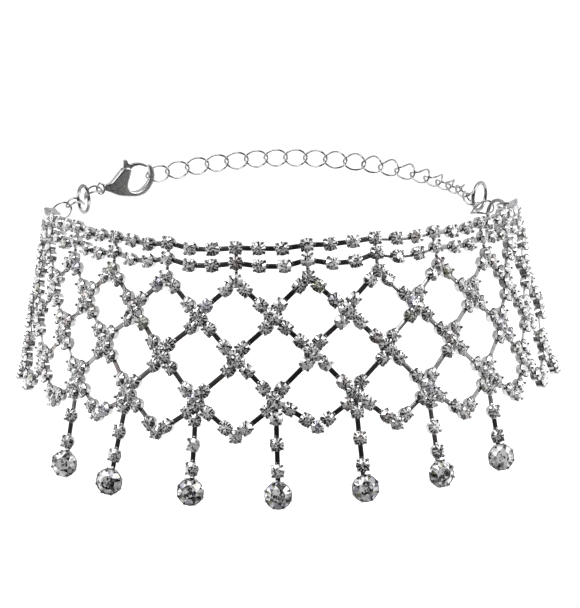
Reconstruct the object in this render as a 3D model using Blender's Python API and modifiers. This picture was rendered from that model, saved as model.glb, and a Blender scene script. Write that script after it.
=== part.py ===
"""Choker necklace: a net of cup chain with seven drops, an extender chain and a
sprung clasp.

Frame: origin at the centre of the neck opening, level with the top row of cups,
+Z up, the front of the necklace faces -Y.  Named sizes are in millimetres.
"""
import math

import bmesh
import bpy
from mathutils import Matrix, Vector

MM = 0.001

# ---------------------------------------------------------------- net
NECK_HALF_WIDTH = 52.5        # half axes of the top row's plan, an oval
NECK_HALF_DEPTH = 55.5
FLARE_DEG = 12.71             # the net leans outward as it comes down
ROW_RADIUS = 1.05             # solid that a row of small cups fills
STRAND_RADIUS = 1.0           # the same for a strand of the net
POST_RADIUS = 0.6             # solder and cup between the rows at a column
CROSS_OVERLAP = 0.75          # half the distance between two crossing strands
VERTEX_FLAT = 0.7             # half width of the cup at a strand's turn
WIRE_SIDES_LEVEL = 1          # bevel resolution of all round sections

# slant distance of each row from the top row, down the flared surface
ROWS = {
    "top": 0.0,
    "second": 3.03,
    "first_turn": 6.29,
    "first_crossing": 13.75,
    "second_crossing": 21.73,
    "third_crossing": 30.49,
    "tips": 37.27,
}

# vertex columns of the net: place on the oval, small lift and stretch
COLUMNS = (
    # number, angle from the front (deg), lift (mm), stretch of the slant
    (-5, -84.5, 0.17, -0.003),
    (-4, -69.8, 1.54, -0.003),
    (-3, -55.0, 1.31, -0.005),
    (-2, -40.6, 0.54, -0.016),
    (-1, -26.0, 0.30, 0.026),
    (0, -10.2, -0.38, 0.008),
    (1, 5.2, -0.22, -0.030),
    (2, 20.6, 0.08, 0.002),
    (3, 35.9, -0.43, 0.006),
    (4, 52.1, -0.82, -0.008),
    (5, 64.1, -0.63, 0.001),
    (6, 79.5, -1.32, 0.015),
)

# the eye of wire at each end of the net
END_EYES = (
    # column, direction x, y, z, half length (mm), turn about the direction (deg)
    (-5, 0.67, 0.74, -0.07, 1.2, 0),
    (6, -0.90, 0.43, -0.06, 2.0, 45),
)
EYE_HALF_WIDTH = 1.0
EYE_WIRE = 0.6

# ---------------------------------------------------------------- drops
DROPS = (
    # column, side swing (deg), turn about the strand (deg),
    # stone centre below the crossing (mm)
    (-2.5, -1.5, -36.0, 18.6),
    (-1.5, -8.1, -24.0, 19.1),
    (-0.5, -1.5, -8.0, 18.2),
    (0.5, 0.0, 0.0, 19.2),
    (1.5, 0.8, 4.0, 19.2),
    (2.5, 0.0, 8.0, 18.1),
    (3.5, -3.0, 37.0, 17.8),
)
DROP_CUPS = (3.8, 8.9, 13.9)  # small cups below the crossing
DROP_START = 2.25
DROP_CUP_RADIUS = 1.15
DROP_BAR_RADIUS = 0.55
CUP_LENGTH = 2.2
SETTING_RADIUS = 2.8
SETTING_WALL = 0.35
SETTING_BACK = -1.6
SETTING_RIM = 0.3
SETTING_FLOOR = 0.45
STONE_RADIUS = 2.75
STONE_TABLE = 1.6
STONE_GIRDLE = 0.7
STONE_TOP = 1.5
STONE_POINT = -0.85
SETTING_CLEARANCE = 0.3

# ---------------------------------------------------------------- chain
LINK_LENGTH = 6.1
LINK_WIDTH = 4.4
LINK_WIRE = 0.5
LINK_TWIST_DEG = 40.0
LINK_POINTS = 12
EXTENDER_LINKS = 20
FACING = Vector((0.0, -0.97, 0.2))
# the links roll over towards the right end, where the chain lies flatter
LINK_ROLL = (
    # link, roll (deg)
    (1, 0.0),
    (12, 0.0),
    (16, -40.0),
    (20, -55.0),
)

# the extender's route, from the clasp's hook round the back to the other end
EXTENDER_ROUTE = (
    # x, y, z (mm)
    (-29.0, 20.9, 4.4),
    (-19.7, 22.8, 5.7),
    (-10.3, 25.1, 6.3),
    (-1.0, 27.4, 6.3),
    (8.4, 28.9, 5.6),
    (17.8, 27.2, 4.7),
    (25.7, 21.9, 3.8),
    (32.6, 15.4, 2.6),
    (37.7, 7.3, 1.6),
    (41.1, -1.6, 0.9),
    (42.0, -6.2, -0.2),
)

# the first link hangs in the clasp's hook and lies to suit it
HOOKED_LINK = (-28.98, 20.7, 4.45, 0.955, 0.249, 0.159, 0.144, -0.862, 0.487)

RING_DIAMETER = 7.0
RING_WIRE = 0.85
RING_POINTS = 12

RINGS = (
    # name, centre x, y, z (mm), normal x, y, z
    ("jump_ring_left_end", -50.42, -2.37, -2.42, 0.86, 0.248, 0.447),
    ("jump_ring_clasp", -45.42, 7.94, 1.13, 0.955, -0.289, 0.067),
    ("jump_ring_extender", 44.23, -4.65, 0.19, 0.834, -0.546, -0.079),
    ("jump_ring_right_end", 47.86, -7.42, -3.49, 0.803, 0.572, -0.166),
)

SHORT_LINKS = (
    # name, centre x, y, z (mm), along x, y, z, face x, y, z
    ("link_left_1", -50.2, 0.89, -0.56, 0.837, 0.337, 0.431, -0.001, -0.786, 0.618),
    ("link_left_2", -46.93, 3.3, 1.0, 0.326, 0.944, 0.052, -0.007, -0.053, 0.999),
    ("link_left_3", -43.81, 12.41, 1.97, 0.475, 0.834, 0.282, -0.279, -0.162, 0.947),
    ("link_right_1", 44.77, -5.11, -2.61, 0.918, 0.274, 0.288, -0.132, -0.471, 0.872),
)

# ---------------------------------------------------------------- clasp
CLASP_EYE = (-41.99, 14.3, 2.69)
CLASP_ALONG = Vector((8.6, 4.5, 1.1))
CLASP_THICKNESS = 2.2
CLASP_ROUNDING = 0.3
# the flat body thins towards the eye and along the hook
CLASP_TAPER = (
    # along (mm), share of the full thickness
    (1.0, 0.55),
    (3.0, 0.9),
    (5.0, 1.0),
    (8.5, 1.0),
    (11.5, 0.66),
    (14.0, 0.62),
)
EYE_RADIUS_ALONG = 0.95
EYE_RADIUS_ACROSS = 1.25
EYE_CENTRE_ACROSS = -0.2
PIVOT = (6.9, 2.1)            # along, across, in the clasp's own plane
PIN_RADIUS = 0.3
LEVER_BORE = 0.58
LEVER_THICKNESS = 0.9
SLOT_WIDTH = 1.5
SLOT_RADIUS = 1.35

# outer edge of the body and hook, clockwise from the eye (along, across)
CLASP_OUTLINE = (
    (0.95, 0.35),
    (2.5, 0.65),
    (3.9, 1.6),
    (5.0, 2.5),
    (6.0, 3.2),
    (7.0, 3.45),
    (7.75, 3.1),
    (8.05, 2.3),
    (7.45, 1.0),
    (6.7, -0.6),
    (6.7, -1.7),
    (7.5, -2.45),
    (8.7, -2.7),
    (10.0, -2.4),
    (11.3, -1.55),
    (12.3, -0.4),
    (12.6, 0.6),
    (12.66, 1.4),
    (12.66, 2.0),
    (12.7, 2.5),
    (13.0, 2.85),
    (13.4, 2.5),
    (13.75, 1.5),
    (13.8, 0.1),
    (13.35, -1.2),
    (12.4, -2.5),
    (11.0, -3.6),
    (9.2, -4.0),
    (7.6, -3.8),
    (5.2, -3.2),
    (3.6, -2.6),
    (2.1, -1.6),
    (0.95, -0.85),
)

# the lever, clockwise from its nub (along, across)
LEVER_OUTLINE = (
    (6.35, 3.3),
    (6.6, 4.3),
    (6.8, 5.1),
    (7.5, 5.1),
    (7.75, 4.3),
    (8.4, 3.95),
    (9.5, 4.0),
    (10.6, 3.85),
    (11.7, 3.35),
    (12.35, 2.75),
    (12.1, 2.3),
    (11.3, 2.75),
    (10.4, 3.1),
    (9.4, 3.15),
    (8.5, 2.9),
    (7.9, 2.2),
    (7.55, 1.35),
    (6.9, 1.1),
    (6.2, 1.35),
    (5.9, 2.1),
    (6.0, 2.8),
)


# ---------------------------------------------------------------- helpers
def clear_scene():
    for obj in list(bpy.data.objects):
        bpy.data.objects.remove(obj, do_unlink=True)


def new_collection(name):
    coll = bpy.data.collections.new(name)
    bpy.context.scene.collection.children.link(coll)
    return coll


def principled(name, colour, roughness, metallic, transmission=0.0):
    mat = bpy.data.materials.new(name)
    mat.use_nodes = True
    shader = mat.node_tree.nodes["Principled BSDF"]
    shader.inputs["Base Color"].default_value = (*colour, 1.0)
    shader.inputs["Roughness"].default_value = roughness
    shader.inputs["Metallic"].default_value = metallic
    shader.inputs["Transmission Weight"].default_value = transmission
    mat.diffuse_color = (*colour, 1.0)
    return mat


def add_object(name, mesh, coll, mat):
    obj = bpy.data.objects.new(name, mesh)
    coll.objects.link(obj)
    if mat is not None and not mesh.materials:
        mesh.materials.append(mat)
    return obj


def hide_cutter(obj):
    obj.hide_render = True
    obj.display_type = "WIRE"


def curve_mesh(name, curve, coll, world=None):
    """Turn a curve into a closed mesh object and remove the curve."""
    obj = bpy.data.objects.new(name + "_curve", curve)
    coll.objects.link(obj)
    if world is not None:
        obj.matrix_world = world
    bpy.context.view_layer.update()
    evaluated = obj.evaluated_get(bpy.context.evaluated_depsgraph_get())
    mesh = bpy.data.meshes.new_from_object(evaluated)
    mesh.name = name
    bm = bmesh.new()
    bm.from_mesh(mesh)
    bmesh.ops.remove_doubles(bm, verts=bm.verts, dist=0.000002)
    bmesh.ops.recalc_face_normals(bm, faces=bm.faces)
    bm.to_mesh(mesh)
    bm.free()
    result = bpy.data.objects.new(name, mesh)
    coll.objects.link(result)
    result.matrix_world = obj.matrix_world.copy()
    bpy.data.objects.remove(obj, do_unlink=True)
    bpy.data.curves.remove(curve)
    return result


def wire(name, points, radius, coll, cyclic=False, world=None):
    """A round wire through points given in metres."""
    curve = bpy.data.curves.new(name, "CURVE")
    curve.dimensions = "3D"
    curve.bevel_depth = radius
    curve.bevel_resolution = WIRE_SIDES_LEVEL
    curve.use_fill_caps = not cyclic
    spline = curve.splines.new("POLY")
    spline.points.add(len(points) - 1)
    for slot, point in zip(spline.points, points):
        slot.co = (*point, 1.0)
    spline.use_cyclic_u = cyclic
    return curve_mesh(name, curve, coll, world)


def plate(name, outlines, thickness, rounding, coll):
    """A flat piece: outlines in metres, the first outer, the rest its holes."""
    curve = bpy.data.curves.new(name, "CURVE")
    curve.dimensions = "2D"
    curve.fill_mode = "BOTH"
    curve.extrude = thickness / 2 - rounding
    curve.bevel_depth = rounding
    curve.bevel_resolution = 0
    curve.offset = -rounding
    for outline in outlines:
        spline = curve.splines.new("POLY")
        spline.points.add(len(outline) - 1)
        for slot, point in zip(spline.points, outline):
            slot.co = (point[0], point[1], 0.0, 1.0)
        spline.use_cyclic_u = True
    return curve_mesh(name, curve, coll)


def boolean(obj, operation, operand=None, group=None):
    mod = obj.modifiers.new(operation.lower(), "BOOLEAN")
    mod.operation = operation
    mod.solver = "EXACT"
    if group is not None:
        mod.operand_type = "COLLECTION"
        mod.collection = group
    else:
        mod.object = operand
    return mod


def bake(obj):
    """Apply an object's modifiers to its mesh."""
    bpy.context.view_layer.update()
    evaluated = obj.evaluated_get(bpy.context.evaluated_depsgraph_get())
    mesh = bpy.data.meshes.new_from_object(evaluated)
    obj.modifiers.clear()
    old = obj.data
    obj.data = mesh
    mesh.name = obj.name
    if old.users == 0:
        bpy.data.meshes.remove(old)


def smooth(obj, angle=50.0):
    obj.data.shade_smooth()
    obj.data.set_sharp_from_angle(angle=math.radians(angle))


def axes(along, facing):
    """Rotation whose X runs along a piece and whose Z is its facing side."""
    x = Vector(along).normalized()
    z = Vector(facing)
    z = (z - x * z.dot(x)).normalized()
    y = z.cross(x)
    return Matrix((x, y, z)).transposed().to_4x4()


# ---------------------------------------------------------------- net surface
def column_values(number):
    """Angle, lift and stretch at a column, also between two of them."""
    first = COLUMNS[0][0]
    place = min(max(number - first, 0.0), len(COLUMNS) - 1.0)
    low = min(int(place), len(COLUMNS) - 2)
    part = place - low
    a, b = COLUMNS[low], COLUMNS[low + 1]
    return tuple(a[i] + (b[i] - a[i]) * part for i in (1, 2, 3))


def surface(number, slant):
    """Point of the net's surface in metres, at a column and a slant."""
    angle, lift, stretch = column_values(number)
    t = math.radians(angle)
    x = NECK_HALF_WIDTH * math.sin(t)
    y = -NECK_HALF_DEPTH * math.cos(t)
    out = Vector((NECK_HALF_DEPTH * math.sin(t), -NECK_HALF_WIDTH * math.cos(t), 0))
    out.normalize()
    slant = slant * (1 + stretch)
    flare = math.radians(FLARE_DEG)
    point = Vector((x, y, 0)) + out * slant * math.sin(flare)
    point.z = lift - slant * math.cos(flare)
    return point * MM


def surface_axes(number):
    """Directions at a column: round the neck, down the flare, outward."""
    step = (surface(number + 0.05, 0) - surface(number - 0.05, 0)).normalized()
    down = (surface(number, 30) - surface(number, 0)).normalized()
    across = (step - down * step.dot(down)).normalized()
    return across, down, down.cross(across)


def zigzag(top_row, bottom_row, top_on_half):
    """Points of one strand, which turns at each column and half column."""
    points = []
    first, last = COLUMNS[0][0], COLUMNS[-1][0]
    for half_step in range(2 * (last - first) + 1):
        number = first + half_step / 2
        on_half = half_step % 2 == 1
        at_top = on_half == top_on_half
        if at_top:
            slant = ROWS[top_row] + (CROSS_OVERLAP if top_row != "first_turn" else 0)
        else:
            slant = ROWS[bottom_row] - (CROSS_OVERLAP if bottom_row != "tips" else 0)
        centre = surface(number, slant)
        across = surface_axes(min(max(number, first + 0.1), last - 0.1))[0]
        for side in (-1, 1):
            end = (number == first and side < 0) or (number == last and side > 0)
            if not end:
                points.append(centre + across * side * VERTEX_FLAT * MM)
    return points


def build_net(coll, strands, mat):
    first, last = COLUMNS[0][0], COLUMNS[-1][0]
    halves = 2 * (last - first)
    top = [surface(first + i / 2, ROWS["top"]) for i in range(halves + 1)]
    second = [surface(first + i / 2, ROWS["second"]) for i in range(halves + 1)]
    net = wire("rhinestone_net", top, ROW_RADIUS * MM, coll)
    operands = [wire("row_second", second, ROW_RADIUS * MM, strands)]
    for name, upper, lower, on_half in (
        ("strand_1", "first_turn", "first_crossing", False),
        ("strand_2", "first_crossing", "second_crossing", True),
        ("strand_3", "second_crossing", "third_crossing", False),
        ("strand_4", "third_crossing", "tips", True),
    ):
        operands.append(
            wire(name, zigzag(upper, lower, on_half), STRAND_RADIUS * MM, strands))
    for number, *_ in COLUMNS:
        post = [surface(number, s) for s in (ROWS["top"], ROWS["second"], ROWS["first_turn"])]
        operands.append(wire(f"post_{number}", post, POST_RADIUS * MM, strands))
    for number, dx, dy, dz, half, turn in END_EYES:
        corner = surface(number, 0)
        along = Vector((dx, dy, dz)).normalized()
        up = Vector((0, 0, 1))
        up = (up - along * up.dot(along)).normalized()
        up = up * math.cos(math.radians(turn)) + up.cross(along) * math.sin(math.radians(turn))
        centre = corner + along * (half + 0.15) * MM
        loop = []
        for i in range(12):
            a = 2 * math.pi * (i + 0.5) / 12
            loop.append(centre + along * half * MM * math.cos(a)
                        + up * EYE_HALF_WIDTH * MM * math.sin(a))
        operands.append(wire(f"eye_{number}", loop, EYE_WIRE / 2 * MM, strands, True))
    for obj in operands:
        hide_cutter(obj)
    boolean(net, "UNION", group=strands)
    bake(net)
    net.data.materials.clear()
    net.data.materials.append(mat)
    smooth(net)
    return net


# ---------------------------------------------------------------- drops
def lathe(name, profile, steps, coll, mat):
    """A turned piece about Z from a profile of (radius, height) in mm."""
    mesh = bpy.data.meshes.new(name)
    bm = bmesh.new()
    verts = [bm.verts.new((r * MM, 0, h * MM)) for r, h in profile]
    for a, b in zip(verts, verts[1:]):
        bm.edges.new((a, b))
    bm.to_mesh(mesh)
    bm.free()
    obj = add_object(name, mesh, coll, mat)
    screw = obj.modifiers.new("turn", "SCREW")
    screw.axis = "Z"
    screw.angle = 2 * math.pi
    screw.steps = steps
    screw.render_steps = steps
    screw.use_merge_vertices = True
    screw.merge_threshold = 0.000005
    bake(obj)
    bm = bmesh.new()
    bm.from_mesh(obj.data)
    bmesh.ops.remove_doubles(bm, verts=bm.verts, dist=0.000005)
    bmesh.ops.recalc_face_normals(bm, faces=bm.faces)
    bm.to_mesh(obj.data)
    bm.free()
    return obj


def drop_frame(number, swing):
    """Crossing point, hanging direction, outward direction of a drop."""
    across, down, outward = surface_axes(number)
    joint = surface(number, ROWS["third_crossing"])
    t = math.radians(swing)
    hang = (down * math.cos(t) + across * math.sin(t)).normalized()
    outward = (outward - hang * outward.dot(hang)).normalized()
    return joint, hang, outward


def build_drops(coll, metal, crystal):
    setting_profile = (
        (0.0, SETTING_BACK),
        (SETTING_RADIUS * 0.72, SETTING_BACK),
        (SETTING_RADIUS, SETTING_BACK + 0.8),
        (SETTING_RADIUS, SETTING_RIM),
        (SETTING_RADIUS - SETTING_WALL, SETTING_RIM),
        (SETTING_RADIUS - SETTING_WALL, SETTING_BACK + SETTING_FLOOR + 0.5),
        (0.0, SETTING_BACK + SETTING_FLOOR),
    )
    stone_profile = (
        (0.0, STONE_POINT),
        (STONE_RADIUS, STONE_GIRDLE - 0.1),
        (STONE_RADIUS, STONE_GIRDLE + 0.1),
        (STONE_TABLE, STONE_TOP),
        (0.0, STONE_TOP),
    )
    for index, (number, swing, turned, stone_at) in enumerate(DROPS, start=1):
        joint, hang, outward = drop_frame(number, swing)
        turn = axes(hang, outward)
        bottom = stone_at - SETTING_RADIUS - SETTING_CLEARANCE
        profile = [(0.0, DROP_START)]
        for cup in DROP_CUPS:
            top_side, low_side = cup - CUP_LENGTH / 2, cup + CUP_LENGTH / 2
            if top_side > DROP_START + 0.1:
                profile.append((DROP_BAR_RADIUS, profile[-1][1] if len(profile) > 1 else DROP_START))
                profile.append((DROP_BAR_RADIUS, top_side))
            profile += [(DROP_CUP_RADIUS, top_side), (DROP_CUP_RADIUS, min(low_side, bottom))]
            profile.append((DROP_BAR_RADIUS, min(low_side, bottom)))
        if profile[-1][1] < bottom - 0.05:
            profile.append((DROP_BAR_RADIUS, bottom))
        profile.append((0.0, profile[-1][1]))
        clean = [profile[0]]
        for point in profile[1:]:
            if abs(point[0] - clean[-1][0]) + abs(point[1] - clean[-1][1]) > 1e-6:
                clean.append(point)
        chain = lathe(f"drop_chain_{index}", clean, 6, coll, metal)
        chain.matrix_world = Matrix.Translation(joint) @ turn @ Matrix.Rotation(
            math.pi / 2, 4, "Y")
        smooth(chain, 40)
        centre = joint + hang * stone_at * MM
        turn = turn @ Matrix.Rotation(math.radians(turned), 4, "X")
        setting = lathe(f"drop_setting_{index}", setting_profile, 12, coll, metal)
        setting.matrix_world = Matrix.Translation(centre) @ turn
        smooth(setting, 40)
        stone = lathe(f"drop_stone_{index}", stone_profile, 12, coll, crystal)
        stone.matrix_world = Matrix.Translation(centre) @ turn


# ---------------------------------------------------------------- chain
def link_points():
    half_length = (LINK_LENGTH - LINK_WIRE) / 2
    half_width = (LINK_WIDTH - LINK_WIRE) / 2
    points = []
    for i in range(LINK_POINTS):
        a = 2 * math.pi * i / LINK_POINTS
        x = half_length * math.cos(a)
        y = half_width * math.sin(a)
        twist = math.radians(LINK_TWIST_DEG) * x / half_length
        points.append(Vector((x, y * math.cos(twist), y * math.sin(twist))) * MM)
    return points


def spline_point(stations, place):
    """Catmull-Rom curve through the stations."""
    last = len(stations) - 1
    i = min(int(place), last - 1)
    t = place - i
    p1, p2 = stations[i], stations[i + 1]
    p0 = stations[i - 1] if i > 0 else p1 * 2 - p2
    p3 = stations[i + 2] if i + 2 <= last else p2 * 2 - p1
    return 0.5 * ((2 * p1) + (p2 - p0) * t + (2 * p0 - 5 * p1 + 4 * p2 - p3) * t * t
                  + (3 * p1 - p0 - 3 * p2 + p3) * t * t * t)


def even_points(stations, count):
    """Points at equal steps along the curve, the ends included."""
    fine = 40 * (len(stations) - 1)
    curve = [spline_point(stations, i / 40) for i in range(fine)] + [stations[-1]]
    lengths = [0.0]
    for a, b in zip(curve, curve[1:]):
        lengths.append(lengths[-1] + (b - a).length)
    result = []
    k = 0
    for i in range(count):
        target = lengths[-1] * i / (count - 1)
        while k < len(lengths) - 2 and lengths[k + 1] < target:
            k += 1
        part = (target - lengths[k]) / (lengths[k + 1] - lengths[k])
        result.append(curve[k].lerp(curve[k + 1], part))
    return result


def link_roll(number):
    for (a, roll_a), (b, roll_b) in zip(LINK_ROLL, LINK_ROLL[1:]):
        if number <= b:
            return roll_a + (roll_b - roll_a) * (number - a) / (b - a)
    return LINK_ROLL[-1][1]


def build_chain(coll, metal):
    master = wire("extender_link_01", link_points(), LINK_WIRE / 2 * MM, coll, True)
    master.data.materials.append(metal)
    smooth(master, 70)
    centres = even_points([Vector(row) for row in EXTENDER_ROUTE], EXTENDER_LINKS)
    for i, centre in enumerate(centres):
        along = centres[min(i + 1, len(centres) - 1)] - centres[max(i - 1, 0)]
        link = master if i == 0 else add_object(
            f"extender_link_{i + 1:02d}", master.data, coll, metal)
        if i == 0:
            x, y, z, ax, ay, az, fx, fy, fz = HOOKED_LINK
            link.matrix_world = (Matrix.Translation(Vector((x, y, z)) * MM)
                                 @ axes((ax, ay, az), (fx, fy, fz)))
        else:
            roll = Matrix.Rotation(math.radians(link_roll(i + 1)), 4, "X")
            link.matrix_world = Matrix.Translation(centre * MM) @ axes(along, FACING) @ roll
    for name, x, y, z, ax, ay, az, fx, fy, fz in SHORT_LINKS:
        link = add_object(name, master.data, coll, metal)
        link.matrix_world = (Matrix.Translation(Vector((x, y, z)) * MM)
                             @ axes((ax, ay, az), (fx, fy, fz)))


def build_rings(coll, metal):
    radius = (RING_DIAMETER - RING_WIRE) / 2
    points = [Vector((math.cos(2 * math.pi * i / RING_POINTS),
                      math.sin(2 * math.pi * i / RING_POINTS), 0)) * radius * MM
              for i in range(RING_POINTS)]
    mesh = None
    for name, x, y, z, nx, ny, nz in RINGS:
        if mesh is None:
            ring = wire(name, points, RING_WIRE / 2 * MM, coll, True)
            ring.data.materials.append(metal)
            smooth(ring, 70)
            mesh = ring.data
        else:
            ring = add_object(name, mesh, coll, metal)
        turn = Vector((nx, ny, nz)).to_track_quat("Z", "Y").to_matrix().to_4x4()
        ring.matrix_world = Matrix.Translation(Vector((x, y, z)) * MM) @ turn


# ---------------------------------------------------------------- clasp
def clasp_matrix():
    """X along the clasp, Y across it, Z out of its flat face."""
    x = CLASP_ALONG.normalized()
    y = Vector((0, 0, 1))
    y = (y - x * y.dot(x)).normalized()
    z = x.cross(y)
    turn = Matrix((x, y, z)).transposed().to_4x4()
    return Matrix.Translation(Vector(CLASP_EYE) * MM) @ turn


def taper(mesh):
    """Thin the clasp's plate along its length."""
    for vert in mesh.vertices:
        u = vert.co.x / MM
        share = CLASP_TAPER[0][1]
        for (u0, s0), (u1, s1) in zip(CLASP_TAPER, CLASP_TAPER[1:]):
            if u >= u0:
                share = s0 + (s1 - s0) * min((u - u0) / (u1 - u0), 1.0)
        vert.co.z *= share


def disc(name, along, across, radius, height, coll, segments=16):
    mesh = bpy.data.meshes.new(name)
    bm = bmesh.new()
    bmesh.ops.create_cone(bm, cap_ends=True, segments=segments, radius1=radius * MM,
                          radius2=radius * MM, depth=height * MM,
                          matrix=Matrix.Translation(Vector((along, across, 0)) * MM))
    bm.to_mesh(mesh)
    bm.free()
    return add_object(name, mesh, coll, None)


def build_clasp(coll, cutters, metal, lever_metal):
    place = clasp_matrix()
    body = plate("clasp_body", [[(u * MM, v * MM) for u, v in CLASP_OUTLINE]],
                 CLASP_THICKNESS * MM, CLASP_ROUNDING * MM, coll)
    taper(body.data)

    eye = [Vector((EYE_RADIUS_ALONG * math.cos(2 * math.pi * (i + 0.5) / 12),
                   EYE_CENTRE_ACROSS + EYE_RADIUS_ACROSS * math.sin(2 * math.pi * (i + 0.5) / 12),
                   0)) * MM for i in range(12)]
    eye_wire = wire("clasp_eye", eye, 0.3 * MM, cutters, True)
    hide_cutter(eye_wire)
    boolean(body, "UNION", eye_wire)

    slot = disc("lever_slot", PIVOT[0], PIVOT[1], SLOT_RADIUS, SLOT_WIDTH, cutters, 20)
    hide_cutter(slot)
    boolean(body, "DIFFERENCE", slot)
    way = bpy.data.meshes.new("lever_way")
    bm = bmesh.new()
    bmesh.ops.create_cube(bm, size=1.0, matrix=Matrix.Translation(
        Vector((PIVOT[0] + 0.75, PIVOT[1] + 1.3, 0)) * MM) @ Matrix.Diagonal(
            (3.6 * MM, 2.9 * MM, SLOT_WIDTH * MM, 1.0)))
    bm.to_mesh(way)
    bm.free()
    way_obj = add_object("lever_way", way, cutters, None)
    hide_cutter(way_obj)
    boolean(body, "DIFFERENCE", way_obj)
    way_low = bpy.data.meshes.new("lever_way_low")
    bm = bmesh.new()
    bmesh.ops.create_cube(bm, size=1.0, matrix=Matrix.Translation(
        Vector((PIVOT[0] + 1.0, PIVOT[1] - 0.5, 0)) * MM) @ Matrix.Rotation(
            math.radians(-20), 4, "Z") @ Matrix.Diagonal(
            (2.4 * MM, 2.2 * MM, SLOT_WIDTH * MM, 1.0)))
    bm.to_mesh(way_low)
    bm.free()
    low_obj = add_object("lever_way_low", way_low, cutters, None)
    hide_cutter(low_obj)
    boolean(body, "DIFFERENCE", low_obj)
    pin = disc("lever_pin", PIVOT[0], PIVOT[1], PIN_RADIUS, CLASP_THICKNESS - 0.3, cutters, 12)
    hide_cutter(pin)
    boolean(body, "UNION", pin)
    bake(body)
    body.data.materials.clear()
    body.data.materials.append(metal)
    smooth(body, 40)
    body.matrix_world = place

    bore = [(PIVOT[0] * MM + LEVER_BORE * MM * math.cos(2 * math.pi * i / 12),
             PIVOT[1] * MM + LEVER_BORE * MM * math.sin(2 * math.pi * i / 12))
            for i in range(12)]
    lever = plate("clasp_lever", [[(u * MM, v * MM) for u, v in LEVER_OUTLINE], bore],
                  LEVER_THICKNESS * MM, 0.0, coll)
    lever.data.materials.append(lever_metal)
    # the lever's own origin lies on its pivot
    pivot = Vector((PIVOT[0], PIVOT[1], 0)) * MM
    lever.data.transform(Matrix.Translation(-pivot))
    lever.matrix_world = place @ Matrix.Translation(pivot)
    smooth(lever, 40)
    for obj in (eye_wire, slot, way_obj, low_obj, pin):
        obj.matrix_world = place


# ---------------------------------------------------------------- assembly
def main():
    clear_scene()
    necklace = new_collection("choker_necklace")
    strands = new_collection("net_strands")
    cutters = new_collection("clasp_cutters")

    cup_metal = principled("cup_metal", (0.72, 0.72, 0.74), 0.15, 1.0)
    chain_metal = principled("chain_metal", (0.85, 0.85, 0.87), 0.12, 1.0)
    clasp_metal = principled("clasp_metal", (0.82, 0.82, 0.84), 0.08, 1.0)
    lever_metal = principled("lever_metal", (0.82, 0.82, 0.84), 0.1, 1.0)
    crystal = principled("crystal", (0.95, 0.96, 1.0), 0.0, 0.0, 1.0)

    build_net(necklace, strands, cup_metal)
    build_drops(necklace, cup_metal, crystal)
    build_chain(necklace, chain_metal)
    build_rings(necklace, chain_metal)
    build_clasp(necklace, cutters, clasp_metal, lever_metal)


main()
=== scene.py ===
"""Choker necklace: a net of cup chain with faceted stones, seven drops, a curb
extender chain and a sprung clasp, in a plain pale studio.

Named sizes are in millimetres, in the same frame as the model.
"""

import math
import random

import bmesh
import bpy
from mathutils import Matrix, Vector


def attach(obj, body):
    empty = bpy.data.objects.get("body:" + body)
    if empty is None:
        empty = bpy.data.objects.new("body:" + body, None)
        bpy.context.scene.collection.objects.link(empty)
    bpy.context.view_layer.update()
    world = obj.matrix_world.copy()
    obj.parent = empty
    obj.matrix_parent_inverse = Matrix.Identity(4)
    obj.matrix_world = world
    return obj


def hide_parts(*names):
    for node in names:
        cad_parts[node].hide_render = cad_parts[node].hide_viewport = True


MM = 0.001
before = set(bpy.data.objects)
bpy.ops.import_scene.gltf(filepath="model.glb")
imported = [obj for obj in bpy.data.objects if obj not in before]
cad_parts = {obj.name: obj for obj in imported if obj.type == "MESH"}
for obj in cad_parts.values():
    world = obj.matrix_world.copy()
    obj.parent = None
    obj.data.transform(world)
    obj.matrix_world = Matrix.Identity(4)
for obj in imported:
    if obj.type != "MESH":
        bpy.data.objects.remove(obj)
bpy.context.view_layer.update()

# ---------------------------------------------------------------- net
NECK_HALF_WIDTH = 52.5
NECK_HALF_DEPTH = 55.5
FLARE_DEG = 12.71
ROWS = {
    "top": 0.0,
    "second": 3.03,
    "first_turn": 6.6,
    "first_crossing": 13.75,
    "second_crossing": 21.73,
    "third_crossing": 30.49,
    "tips": 37.27,
}
COLUMNS = (
    # number, angle from the front (deg), lift (mm), stretch of the slant
    (-5, -84.5, 0.17, -0.003),
    (-4, -69.8, 1.54, -0.003),
    (-3, -55.0, 1.31, -0.005),
    (-2, -40.6, 0.54, -0.016),
    (-1, -26.0, 0.30, 0.026),
    (0, -10.2, -0.38, 0.008),
    (1, 5.2, -0.22, -0.030),
    (2, 20.6, 0.08, 0.002),
    (3, 35.9, -0.43, 0.006),
    (4, 52.1, -0.82, -0.008),
    (5, 64.1, -0.63, 0.001),
    (6, 79.5, -1.32, 0.015),
)
END_EYES = (
    # column, direction x, y, z, half length (mm), turn about the direction (deg)
    (-5, 0.67, 0.74, -0.07, 1.2, 0),
    (6, -0.90, 0.43, -0.06, 2.0, 45),
)
EYE_HALF_WIDTH = 1.0
EYE_WIRE = 0.6
CUPS_PER_PERIOD = 3
ROW_SAG = {"top": 0.45, "second": 0.9}
SAG_VARIES = 0.3
NEXT_CUP = 2.6                # cups that touch at a turn of a strand
ABOVE_CROSSING = 0.2          # the upper strand's turn from the crossing
BELOW_CROSSING = 0.75         # the lower strand's
CROSSING_SIDE = 0.55          # and each to its side
STRANDS = (
    # upper row, lower row, turns at the top on the half columns
    ("first_turn", "first_crossing", False),
    ("first_crossing", "second_crossing", True),
    ("second_crossing", "third_crossing", False),
    ("third_crossing", "tips", True),
)

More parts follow.
